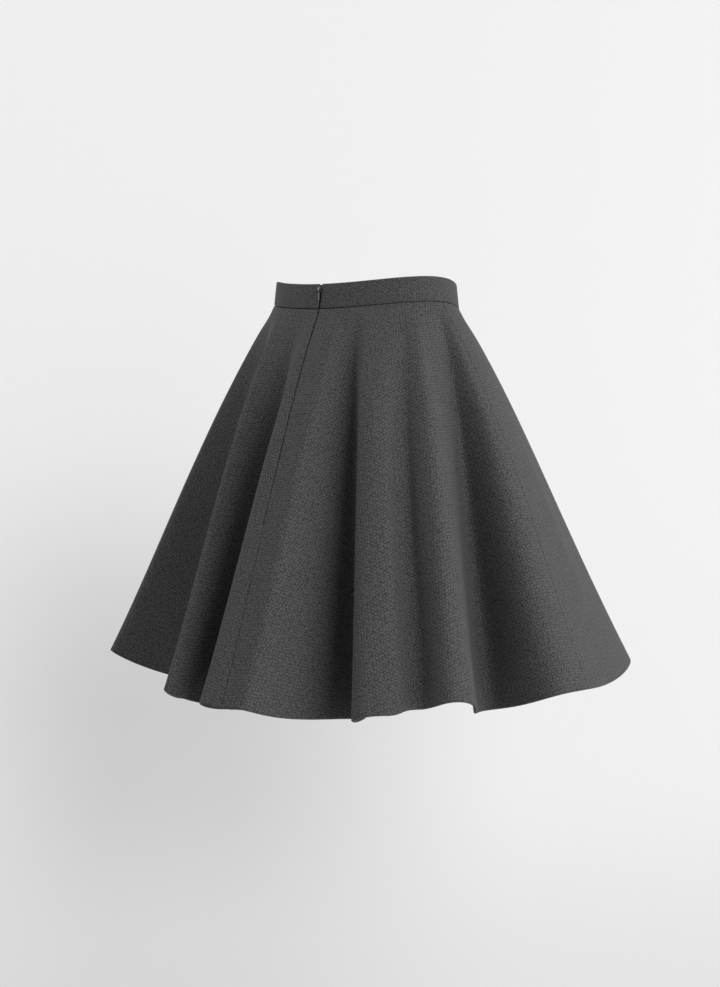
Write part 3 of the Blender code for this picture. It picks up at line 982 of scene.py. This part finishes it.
@dataclass
class ZipTape:
    """One side of the zip: its tape against the inside of the cloth, and the coil along its edge."""

    side: Side
    waist: WaistForm
    form: SkirtForm
    width: float = 0.0120
    wall: float = 0.0007
    gap: float = 0.0003
    edge: float = 0.0008
    length: float = 0.195
    top: float = 0.0012
    coil_top: float = 0.0117
    coil_foot: float = 0.003
    coil_lift: float = 0.0007
    band_wall: float = 0.0032
    band_hold: float = 0.0022
    step_run: float = 0.014
    cloth_wall: float = CLOTH_WALL

    def point(self, depth: float, distance: float, inset: float) -> np.ndarray:
        """A point inside the skirt.

        Args:
            depth: metres down from the band's top edge.
            distance: metres from the back seam.
            inset: metres in from the tape's outer face.

        Returns:
            The point.
        """
        band = self.waist.top - self.waist.bottom
        way = self.side.value
        if depth <= band + self.band_hold:
            bearing = np.array(way * distance / self.waist.half_width)
            return self.waist.band_point(bearing, self.waist.top - depth, self.band_wall + self.gap + inset)
        share = (depth - band) / LINES[0].length
        place = self.form.line_off(np.array([share]), 0.0, way * distance)
        ease = min(1.0, max(0.0, (depth - band - self.band_hold) / self.step_run))
        wall = self.band_wall + (self.cloth_wall - self.band_wall) * ease
        return self.form.at(np.array([share]), place, np.array([wall + self.gap + inset]))[0]

    def build(self, look: bpy.types.Material) -> bpy.types.Object:
        """Builds and dresses the tape.

        Args:
            look: the tape's material.

        Returns:
            The tape.
        """
        name = f"zip_tape_{self.side.name.lower()}"
        across = np.linspace(self.edge, self.edge + self.width, 13)
        depths = np.linspace(self.top, self.length, 100)
        grids = [
            np.array([[self.point(depth, far, inset) for far in across] for depth in depths])
            for inset in (0.0, self.wall)
        ]
        flat = np.stack(np.meshgrid(across * self.side.value, -depths), axis=-1).reshape(-1, 2)
        points = np.concatenate([grid.reshape(-1, 3) for grid in grids])
        both = np.concatenate([flat, flat])
        faces = slab_faces(len(depths), len(across))
        made = turned_out(new_mesh_object(f"{name}_cloth", points, faces, both, look))
        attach(made, SKIRT_BODY)
        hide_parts(name)
        return made

    def coil_path(self) -> np.ndarray:
        """Returns the line that the coil's loops are strung on, from the slider to the zip's foot."""
        depths = np.linspace(self.coil_top, self.length - self.coil_foot, 120)
        return np.array([self.point(depth, self.edge, self.wall + self.coil_lift) for depth in depths])


class PathTree:
    """A Geometry Nodes tree that turns a guide path into threads, stitches or loops."""

    def __init__(self, name: str, sizes: dict[str, float]) -> None:
        """Starts a tree.

        Args:
            name: the tree's name.
            sizes: its named sizes, which become inputs.
        """
        self.tree = bpy.data.node_groups.new(name, "GeometryNodeTree")
        self.graph = Graph(self.tree)
        self.tree.interface.new_socket("Geometry", in_out="INPUT", socket_type="NodeSocketGeometry")
        self.tree.interface.new_socket("Geometry", in_out="OUTPUT", socket_type="NodeSocketGeometry")
        self.sizes = {self.new_input(size, "NodeSocketFloat"): value for size, value in sizes.items()}
        self.look_input = self.new_input("Look", "NodeSocketMaterial")
        self.inputs = self.graph.node("NodeGroupInput").outputs

    def new_input(self, name: str, kind: str) -> str:
        """Adds an input of this kind to the tree and returns its identifier."""
        return self.tree.interface.new_socket(name, in_out="INPUT", socket_type=kind).identifier

    def path(self) -> bpy.types.NodeSocket:
        """Returns the guide paths as curves."""
        return self.graph.fed("GeometryNodeMeshToCurve", {"Mesh": self.inputs["Geometry"]}).outputs[0]

    def ring(self, corners: int, radius: str) -> bpy.types.NodeSocket:
        """Returns a circle with this many corners, whose radius is the named size."""
        numbers = {"Resolution": corners, "Radius": self.inputs[radius]}
        return self.graph.fed("GeometryNodeCurvePrimitiveCircle", numbers).outputs[0]

    def tube(self, line: bpy.types.NodeSocket, ring: bpy.types.NodeSocket) -> bpy.types.Node:
        """Returns the node that sweeps a ring along a line."""
        return self.graph.fed("GeometryNodeCurveToMesh", {"Curve": line, "Profile Curve": ring})

    def string(
        self, piece: bpy.types.NodeSocket, axis: str, scale: bpy.types.NodeSocket | None = None
    ) -> bpy.types.NodeSocket:
        """Sets a piece at every pitch along the paths.

        Args:
            piece: the piece's geometry.
            axis: which of its axes runs with the path.
            scale: its scale, or None where it keeps its own size.

        Returns:
            The row of pieces.
        """
        graph = self.graph
        spacing = {"Curve": self.path(), "Length": self.inputs["Pitch"]}
        spaced = graph.fed("GeometryNodeResampleCurve", spacing, mode="LENGTH").outputs[0]
        along = graph.node("GeometryNodeInputTangent").outputs[0]
        turned = graph.fed("FunctionNodeAlignRotationToVector", {"Vector": along}, axis=axis).outputs[0]
        row = {"Points": spaced, "Instance": piece, "Rotation": turned}
        if scale is not None:
            row["Scale"] = scale
        return graph.fed("GeometryNodeInstanceOnPoints", row).outputs[0]

    def close(self, geometry: bpy.types.NodeSocket) -> None:
        """Ends the tree: instances are made real and take the material."""
        real = self.graph.fed("GeometryNodeRealizeInstances", {0: geometry}).outputs[0]
        smooth = self.graph.fed("GeometryNodeSetShadeSmooth", {0: real}).outputs[0]
        look = {"Geometry": smooth, "Material": self.inputs["Look"]}
        dressed = self.graph.fed("GeometryNodeSetMaterial", look).outputs[0]
        self.graph.fed("NodeGroupOutput", {0: dressed})

    def grow(
        self, name: str, paths: list[np.ndarray], look: bpy.types.Material, slot: str
    ) -> bpy.types.Object:
        """Runs the tree on some paths and keeps the plain mesh that it makes.

        Args:
            name: the piece's name.
            paths: the guide paths, each a row of points.
            look: the material.
            slot: the record's material slot; not used.

        Returns:
            The piece, riding on the skirt.
        """
        edges, start = [], 0
        for path in paths:
            edges += [(start + step, start + step + 1) for step in range(len(path) - 1)]
            start += len(path)
        guide_mesh = bpy.data.meshes.new(f"{name}_guide")
        guide_mesh.from_pydata(np.concatenate(paths).tolist(), edges, [])
        guide = bpy.data.objects.new(f"{name}_guide", guide_mesh)
        bpy.context.scene.collection.objects.link(guide)
        run = guide.modifiers.new("grow", "NODES")
        run.node_group = self.tree
        for identifier, value in self.sizes.items():
            run[identifier] = value
        run[self.look_input] = look
        graph = bpy.context.evaluated_depsgraph_get()
        mesh = bpy.data.meshes.new_from_object(guide.evaluated_get(graph), depsgraph=graph)
        mesh.name = name
        bpy.data.objects.remove(guide)
        made = bpy.data.objects.new(name, mesh)
        bpy.context.scene.collection.objects.link(made)
        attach(made, SKIRT_BODY)
        LOG.info("%s: %d faces", name, len(mesh.polygons))
        return made


def thread_tree() -> PathTree:
    """Returns a tree that lays a thread along each path, with rounded turns."""
    made = PathTree("laid_thread", {"Thread radius": 0.00022, "Turn radius": 0.0004})
    turn = {"Curve": made.path(), "Radius": made.inputs["Turn radius"], "Count": 2, "Limit Radius": True}
    bent = made.graph.fed("GeometryNodeFilletCurve", turn, mode="POLY").outputs[0]
    tube = made.tube(bent, made.ring(5, "Thread radius"))
    made.graph.feed(tube.inputs["Fill Caps"], True)
    made.close(tube.outputs[0])
    return made


def stitch_tree(pitch: float, length: float) -> PathTree:
    """A tree that sets running stitches along each path.

    Args:
        pitch: from one stitch to the next.
        length: half of a stitch's length, to the end of its round point.

    Returns:
        The tree.
    """
    made = PathTree("running_stitch", {"Pitch": pitch, "Half length": length, "Thread radius": 0.00028})
    bead = made.graph.fed("GeometryNodeMeshUVSphere", {"Segments": 6, "Rings": 4, "Radius": 1.0})
    radius = made.inputs["Thread radius"]
    size = made.graph.fed("ShaderNodeCombineXYZ", {0: made.inputs["Half length"], 1: radius, 2: radius})
    made.close(made.string(bead.outputs[0], "X", size.outputs[0]))
    return made


def coil_tree() -> PathTree:
    """Returns a tree that strings nylon loops along a path, as a zip's coil."""
    made = PathTree("zip_coil", {"Pitch": 0.0011, "Loop radius": 0.00082, "Wire radius": 0.00026})
    loop = made.tube(made.ring(10, "Loop radius"), made.ring(5, "Wire radius"))
    made.close(made.string(loop.outputs[0], "Z"))
    return made


@dataclass
class InsideWork:
    """What a look inside shows: the seams' turnings, their overcast edges and the hand-sewn hem."""

    form: SkirtForm
    waist: WaistForm
    turning: float = 0.010
    turning_wall: float = 0.0010
    cloth_wall: float = CLOTH_WALL
    hem_turn: float = HEM_TURN
    mean_length: float = MEAN_LENGTH
    overcast_pitch: float = 0.0024
    overcast_reach: float = 0.0032
    seam_top: float = 0.012
    hem_stitch_down: float = 0.0045
    band_stitch_drop: float = 0.0008
    band_stitch_inset: float = 0.0033

    def seam_downs(self, top: float) -> np.ndarray:
        """Returns shares of the way down from a turning's top to the hem's turned edge."""
        return np.linspace(top, 1 - (self.hem_turn + 0.001) / self.mean_length, 90)

    def turnings(self, name: str, line: float, top: float, look: bpy.types.Material) -> bpy.types.Object:
        """The two turnings of a seam, pressed open.

        Args:
            name: the piece's name.
            line: the seam's line.
            top: the share of the way down where they start.
            look: the cloth's material.

        Returns:
            The piece.
        """
        downs = self.seam_downs(top)
        across = np.array([0.05 * MM, 1.5 * MM, 4 * MM, 7 * MM, self.turning - 0.4 * MM, self.turning])
        lift = np.array([0.3, 0.1, 0.1, 0.1, 0.1, 0.2]) * MM
        points, faces, flats = [], [], []
        for way in (1, -1):
            places = np.column_stack([self.form.line_off(downs, line, way * far) for far in across])
            shares = np.broadcast_to(downs[:, None], places.shape)
            start = sum(len(part) for part in points)
            for inset in (0.0, self.turning_wall):
                depth = np.broadcast_to(self.cloth_wall + lift + inset, places.shape)
                points.append(self.form.at(shares, places, depth).reshape(-1, 3))
                flat = np.broadcast_arrays(across * way, -downs[:, None] * self.mean_length)
                flats.append(np.stack(flat, -1).reshape(-1, 2))
            side = [tuple(start + corner for corner in face) for face in slab_faces(*places.shape)]
            faces += side if way > 0 else [tuple(reversed(face)) for face in side]
        made = turned_out(new_mesh_object(name, np.concatenate(points), faces, np.concatenate(flats), look))
        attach(made, SKIRT_BODY)
        return made

    def overcast_seam(self, line: float, top: float) -> list[np.ndarray]:
        """Zigzag paths over the outer edges of a seam's turnings.

        Args:
            line: the seam's line.
            top: the share of the way down where they start.

        Returns:
            One path for each edge.
        """
        downs = self.seam_downs(top)
        count = int((downs[-1] - downs[0]) * self.mean_length / self.overcast_pitch)
        shares = np.linspace(downs[0], downs[-1], count)
        depth = self.cloth_wall + self.turning_wall + 0.25 * MM
        paths = []
        for way in (1, -1):
            edge = self.form.line_off(shares, line, way * (self.turning + 0.2 * MM))
            inner = self.form.line_off(shares, line, way * (self.turning - self.overcast_reach))
            places = np.where(np.arange(count) % 2 == 0, edge, inner)
            paths.append(self.form.at(shares, places, np.full(count, depth)))
        return paths

    def overcast_hem(self) -> list[np.ndarray]:
        """Returns a zigzag path over the turned-up hem's edge, once round the skirt."""
        edge_down = 1 - self.hem_turn / self.mean_length
        once = np.linspace(0, len(LINES) - 1e-6, 2000)
        around = self.form.arc(edge_down, once)
        count = int(around[-1] / self.overcast_pitch)
        columns = np.interp(np.linspace(0, around[-1], count), around, once)
        low = edge_down + self.overcast_reach / self.mean_length
        high = edge_down - 0.4 * MM / self.mean_length
        shares = np.where(np.arange(count) % 2 == 0, high, low)
        depth = 2 * self.cloth_wall + 0.45 * MM
        return [self.form.at(shares, columns, np.full(count, depth))]

    def hem_stitches(self) -> list[np.ndarray]:
        """Returns the path of the hem's hand stitches, just under its overcast edge."""
        share = 1 - (self.hem_turn - self.hem_stitch_down) / self.mean_length
        places = np.linspace(0, len(LINES), 1200)
        depth = np.full(len(places), 2 * self.cloth_wall + 0.3 * MM)
        return [self.form.at(np.full(len(places), share), places, depth)]

    def band_stitches(self) -> list[np.ndarray]:
        """Returns the path of the stitches that hold the band's inner edge down."""
        bearing = np.radians(np.linspace(1.5, 358.5, 900))
        height = self.waist.bottom - self.band_stitch_drop
        return [self.waist.band_point(bearing, height, np.full(len(bearing), self.band_stitch_inset))]

    def build(self, cloth: bpy.types.Material, thread: bpy.types.Material, zip_foot: float) -> None:
        """Builds all the inside work.

        Args:
            cloth: the cloth's material.
            thread: the thread's material.
            zip_foot: the share of the way down where the zip's tapes end.
        """
        seams = [("back", 0.0, zip_foot)]
        seams += [(side, line_number(f"{side}_seam"), self.seam_top) for side in ("right", "left")]
        zigzags = []
        for name, line, top in seams:
            self.turnings(f"{name}_seam_turnings", line, top, cloth)
            zigzags += self.overcast_seam(line, top)
        thread_tree().grow("seam_overcasting", zigzags, thread, "cloth")
        thread_tree().grow("hem_overcasting", self.overcast_hem(), thread, "cloth")
        hem_tree = stitch_tree(pitch=0.0075, length=0.0011)
        hem_tree.grow("hem_hand_stitches", self.hem_stitches(), thread, "cloth")
        band_tree = stitch_tree(pitch=0.0028, length=0.0012)
        band_tree.grow("band_inner_stitches", self.band_stitches(), thread, "band_cloth")


@dataclass
class PhotoCamera:
    """The camera at the photograph's angle. Directions are as it sees them: right, up and towards it."""

    azimuth: float = 219.0
    distance: float = 2.0
    height: float = -0.0760
    pitch: float = 4.5
    side_shift: float = 0.00605
    lens: float = 60.29

    def right(self) -> Vector:
        """Returns the direction to the picture's right."""
        turn = math.radians(self.azimuth)
        return Vector((math.cos(turn), math.sin(turn), 0.0))

    def toward(self) -> Vector:
        """Returns the level direction from the object to the camera."""
        turn = math.radians(self.azimuth)
        return Vector((math.sin(turn), -math.cos(turn), 0.0))

    def place(self, right: float, up: float, toward: float) -> Vector:
        """Returns the point at these distances from the origin, as the camera sees them."""
        return self.right() * right + Vector((0.0, 0.0, up)) + self.toward() * toward

    def build(self) -> None:
        """Makes the scene's camera."""
        data = bpy.data.cameras.new("photo_camera")
        data.lens = self.lens
        data.clip_start, data.clip_end = 0.05, 60.0
        camera = bpy.data.objects.new("photo_camera", data)
        camera.location = self.place(-self.side_shift, self.height, self.distance)
        dip = math.radians(self.pitch)
        look = -self.toward() * math.cos(dip) - Vector((0.0, 0.0, math.sin(dip)))
        camera.rotation_euler = look.to_track_quat("-Z", "Y").to_euler()
        bpy.context.scene.collection.objects.link(camera)
        bpy.context.scene.camera = camera


@dataclass(frozen=True)
class SoftLight:
    """A large square soft lamp, aimed at the middle of the skirt. Its two angles are in degrees."""

    name: str
    bearing: float
    elevation: float
    size: float
    power: float
    distance: float = 2.4
    aim_height: float = -0.25

    def build(self, camera: PhotoCamera) -> None:
        """Makes the lamp at its bearing to the camera's right and its elevation over the aim."""
        data = bpy.data.lights.new(self.name, "AREA")
        data.shape = "SQUARE"
        data.size = self.size
        data.energy = self.power
        turn, lift = math.radians(self.bearing), math.radians(self.elevation)
        level = math.cos(lift) * self.distance
        up = self.aim_height + math.sin(lift) * self.distance
        lamp = bpy.data.objects.new(self.name, data)
        lamp.location = camera.place(math.sin(turn) * level, up, math.cos(turn) * level)
        aim = camera.place(0.0, self.aim_height, 0.0)
        lamp.rotation_euler = (aim - lamp.location).to_track_quat("-Z", "Y").to_euler()
        bpy.context.scene.collection.objects.link(lamp)


@dataclass
class Stage:
    """A pale floor and a pale wall close behind the skirt. The wall glows with its own even light, with a
    soft shadow of the skirt painted into its glow low down on the left. The wall shows only from its front.
    """

    camera: PhotoCamera
    floor_height: float = -1.25
    floor_half: float = 9.0
    wall_distance: float = 0.62
    wall_half: float = 4.0
    wall_top: float = 3.0
    floor_colour: tuple[float, float, float] = (0.80, 0.80, 0.805)
    wall_colour: tuple[float, float, float] = (0.20, 0.20, 0.201)
    world_shown: float = 0.84
    world_light: float = 0.015
    floor_clear: float = 3.0
    floor_full: float = 0.8
    wall_glow: float = 0.685
    wall_foot_loss: float = 0.09
    # The painted soft shadow of the skirt on the wall: its depth, then where it fades out across the wall and
    # in height.
    painted_shadow_depth: float = 0.215
    shadow_across: tuple[float, float] = (-0.25, 0.30)
    shadow_left_end: tuple[float, float] = (-0.70, -0.38)
    shadow_height: tuple[float, float] = (-0.66, -0.14)
    shadow_low_end: tuple[float, float] = (-1.05, -0.72)
    loss_foot: tuple[float, float] = (-1.10, -0.70)
    lights: tuple[SoftLight, ...] = (
        SoftLight("key_light", 35.0, 12.0, 1.6, 43.0),
        SoftLight("right_light", 65.0, 10.0, 1.4, 15.0),
        SoftLight("side_light", 95.0, 40.0, 1.2, 18.0),
        SoftLight("left_light", -35.0, 30.0, 1.6, 14.0),
        SoftLight("far_left_light", -100.0, 45.0, 1.2, 28.0),
    )

    def surface(self, name: str, corners: list[Vector], look: bpy.types.Material) -> None:
        """Makes one flat sheet of the stage."""
        points = np.array([tuple(corner) for corner in corners])
        made = new_mesh_object(name, points, [tuple(range(len(corners)))], None, look)

    def paper(self, name: str, colour: tuple[float, float, float], lit: bool) -> bpy.types.Material:
        """Pale matt paper.

        Args:
            name: the material's name.
            colour: its colour.
            lit: whether it glows with its own light, with a painted soft shadow of the skirt in it. It is
                then clear to what
            looks at its back, and otherwise it fades out into the surroundings, as the floor does.

        Returns:
            The material.
        """
        made, graph, shader = new_material(name)
        place = graph.node("ShaderNodeTexCoord").outputs["Object"]
        pale = tuple(min(1.0, value * 1.01) for value in colour)
        grain = graph.blend(graph.noise(place, 3.0, 2.0), (*colour, 1.0), (*pale, 1.0))
        graph.feed(shader.inputs["Base Color"], grain)
        graph.feed(shader.inputs["Roughness"], 1.0)
        graph.feed(shader.inputs["Specular IOR Level"], 0.0)
        if lit:
            graph.feed(shader.inputs["Emission Color"], (1.0, 1.0, 1.0, 1.0))
            graph.feed(shader.inputs["Emission Strength"], self.glow(graph, place))
            away = graph.node("ShaderNodeNewGeometry").outputs["Backfacing"]
        else:
            level = {0: place, 1: (1.0, 1.0, 0.0)}
            flat = graph.fed("ShaderNodeVectorMath", level, operation="MULTIPLY").outputs[0]
            radius = graph.fed("ShaderNodeVectorMath", {0: flat}, operation="LENGTH").outputs["Value"]
            away = graph.ramp(radius, self.floor_full, self.floor_clear, 0.0, 1.0)
        clear = graph.node("ShaderNodeBsdfTransparent").outputs[0]
        either = graph.fed("ShaderNodeMixShader", {0: away, 1: shader.outputs[0], 2: clear})
        graph.feed(made.node_tree.nodes["Material Output"].inputs["Surface"], either.outputs[0])
        return made

    def glow(self, graph: Graph, place: bpy.types.NodeSocket) -> bpy.types.NodeSocket:
        """The wall's own glow: even, but weaker towards its foot, and weaker low down on the left,
        where a soft shadow of the skirt is painted into it.

        Args:
            graph: the paper's graph.
            place: the place on the wall.

        Returns:
            The strength's socket.
        """
        height = graph.fed("ShaderNodeSeparateXYZ", {0: place}).outputs[2]
        to_right = {0: place, 1: self.camera.right()}
        across = graph.fed("ShaderNodeVectorMath", to_right, operation="DOT_PRODUCT").outputs["Value"]
        # Painted shadow: a soft shadow of the skirt painted into the glow on the left and low down, fading
        # out towards the right, upwards, at the far left end and at the very bottom.
        painted_shadow = graph.math("MULTIPLY", graph.ramp(across, *self.shadow_across, 1.0, 0.0), self.painted_shadow_depth)
        painted_shadow = graph.math("MULTIPLY", painted_shadow, graph.ramp(across, *self.shadow_left_end, 0.4, 1.0))
        painted_shadow = graph.math("MULTIPLY", painted_shadow, graph.ramp(height, *self.shadow_height, 1.0, 0.0))
        painted_shadow = graph.math("MULTIPLY", painted_shadow, graph.ramp(height, *self.shadow_low_end, 0.4, 1.0))
        # The glow is also a little weaker towards the wall's foot.
        foot = graph.ramp(height, *self.loss_foot, self.wall_foot_loss, 0.0)
        return graph.math("SUBTRACT", graph.math("SUBTRACT", self.wall_glow, painted_shadow), foot)

    def build(self) -> None:
        """Makes the floor, the wall, the lamps and the pale surroundings."""
        half, low = self.floor_half, self.floor_height
        square = ((-half, -half), (half, -half), (half, half), (-half, half))
        floor = [Vector((x, y, low)) for x, y in square]
        self.surface("floor", floor, self.paper("floor_paper", self.floor_colour, False))
        wide, back, high = self.wall_half, -self.wall_distance, self.wall_top
        face = ((-wide, low, back), (wide, low, back), (wide, high, back), (-wide, high, back))
        wall = [self.camera.place(*corner) for corner in face]
        self.surface("wall", wall, self.paper("wall_paper", self.wall_colour, True))
        for light in self.lights:
            light.build(self.camera)
        self.surroundings()
        bpy.context.scene.view_settings.view_transform = "Standard"

    def surroundings(self) -> None:
        """Makes a pale world, which shows as paper but gives hardly any light."""
        world = bpy.data.worlds.new("pale_surroundings")
        world.use_nodes = True
        graph = Graph(world.node_tree)
        shown = graph.node("ShaderNodeLightPath").outputs["Is Camera Ray"]
        strength = graph.math("MULTIPLY_ADD", shown, self.world_shown - self.world_light, self.world_light)
        sky = world.node_tree.nodes["Background"]
        graph.feed(sky.inputs["Color"], (1.0, 1.0, 1.0, 1.0))
        graph.feed(sky.inputs["Strength"], strength)
        bpy.context.scene.world = world


def main() -> None:
    """Builds the skirt's pieces in order, then the stage round them."""
    logging.basicConfig(level=logging.INFO, format="%(name)s: %(message)s")
    waist = WaistForm()
    form = SkirtForm(waist)
    cloth, band_cloth, thread = CLOTH.make(), BAND_CLOTH.make(), THREAD.make()
    right, left, whole = line_number("right_seam"), line_number("left_seam"), len(LINES)
    Waistband(waist).build(band_cloth)
    ClothPanel("back_right_panel", "skirt_back_right", 0, right).build(form, cloth)
    ClothPanel("front_panel", "skirt_front", right, left).build(form, cloth)
    ClothPanel("back_left_panel", "skirt_back_left", left, whole).build(form, cloth)
    tape_look, coil_look = TAPE.make(), COIL_NYLON.make()
    for side in Side:
        tape = ZipTape(side, waist, form)
        tape.build(tape_look)
        coil_tree().grow(f"zip_coil_{side.name.lower()}", [tape.coil_path()], coil_look, "zip_tape")
    InsideWork(form, waist).build(cloth, thread, zip_foot=0.352)
    metal = METAL.make()
    for node in ("zip_slider", "zip_pull"):
        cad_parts[node].data.materials.clear()
        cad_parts[node].data.materials.append(metal)
    camera = PhotoCamera()
    camera.build()
    Stage(camera).build()


if __name__ == "__main__":
    main()
